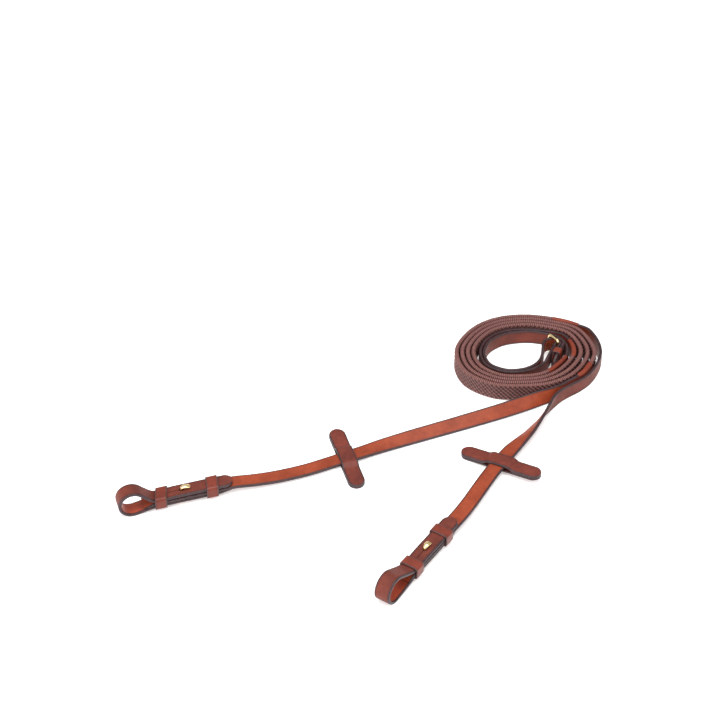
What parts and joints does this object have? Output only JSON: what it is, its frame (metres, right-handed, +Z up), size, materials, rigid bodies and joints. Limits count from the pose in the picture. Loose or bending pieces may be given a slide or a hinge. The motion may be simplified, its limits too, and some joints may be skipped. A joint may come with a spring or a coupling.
{
  "type": "riding reins",
  "caption": "Leather riding reins coiled for storage, with rubber covered grips, sliding rein stops, hook stud bit ends and a centre buckle",
  "frame": {"origin": "under the middle of the coiled pair, on the surface that it lies on", "axes": "+Z up from the surface; +X along the longest side of the pair, towards the coil; +Y from the bit ends towards the coil"},
  "size_m": [0.4833, 0.4116, 0.028],
  "materials": {
    "strap_leather": "tan grained leather with dark painted edges",
    "billet_leather": "thick darker tan bridle leather with dark painted edges",
    "keeper_leather": "tan leather with dark painted edges",
    "stop_leather": "thick tan leather with a raised middle",
    "cap_leather": "thin orange tan leather",
    "grip_rubber": "matt dusty red brown pimple rubber",
    "stud_brass": "polished brass",
    "buckle_brass": "polished brass",
    "thread": "waxed linen thread"
  },
  "bodies": {
    "root": {"left_rein_strap": "strap_leather", "left_bit_billet": "billet_leather", "left_hook_stud": "stud_brass", "left_billet_stitching": "thread", "left_grip": "grip_rubber", "left_grip_cap_front": "cap_leather", "left_grip_cap_rear": "cap_leather", "right_rein_strap": "strap_leather", "right_bit_billet": "billet_leather", "right_hook_stud": "stud_brass", "right_billet_stitching": "thread", "right_grip": "grip_rubber", "right_grip_cap_front": "cap_leather", "right_grip_cap_rear": "cap_leather", "buckle_keeper": "keeper_leather", "buckle_stitching": "thread"},
    "left_front_keeper": {"left_keeper_front": "keeper_leather"},
    "left_rear_keeper": {"left_keeper_rear": "keeper_leather"},
    "right_front_keeper": {"right_keeper_front": "keeper_leather"},
    "right_rear_keeper": {"right_keeper_rear": "keeper_leather"},
    "left_stop": {"left_rein_stop": "stop_leather"},
    "right_stop": {"right_rein_stop": "stop_leather"},
    "buckle": {"centre_buckle_frame": "buckle_brass"},
    "tongue": {"centre_buckle_tongue": "buckle_brass"}
  },
  "joints": [
    {"name": "left_front_keeper_slide", "type": "slide", "parent": "root", "child": "left_front_keeper", "axis": [0.9511, 0.309, 0], "range_m": [0, 0.009]},
    {"name": "left_rear_keeper_slide", "type": "slide", "parent": "root", "child": "left_rear_keeper", "axis": [0.9511, 0.309, 0], "range_m": [-0.012, 0.01]},
    {"name": "right_front_keeper_slide", "type": "slide", "parent": "root", "child": "right_front_keeper", "axis": [0.5592, 0.829, 0], "range_m": [0, 0.012]},
    {"name": "right_rear_keeper_slide", "type": "slide", "parent": "root", "child": "right_rear_keeper", "axis": [0.5592, 0.829, 0], "range_m": [-0.012, 0.01]},
    {"name": "left_stop_slide", "type": "slide", "parent": "root", "child": "left_stop", "axis": [0.8988, 0.4384, 0], "range_m": [-0.006, 0.006]},
    {"name": "right_stop_slide", "type": "slide", "parent": "root", "child": "right_stop", "axis": [0.5446, 0.8386, -0.012], "range_m": [-0.006, 0.006]},
    {"name": "buckle_swing", "type": "hinge", "parent": "root", "child": "buckle", "pos_m": [0.19635, 0.1573, 0.011], "axis": [0, 0, 1], "range_deg": [-6, 6]},
    {"name": "tongue_swing", "type": "hinge", "parent": "buckle", "child": "tongue", "pos_m": [0.19635, 0.1573, 0.011], "axis": [0, 0, 1], "range_deg": [-2, 0]}
  ]
}
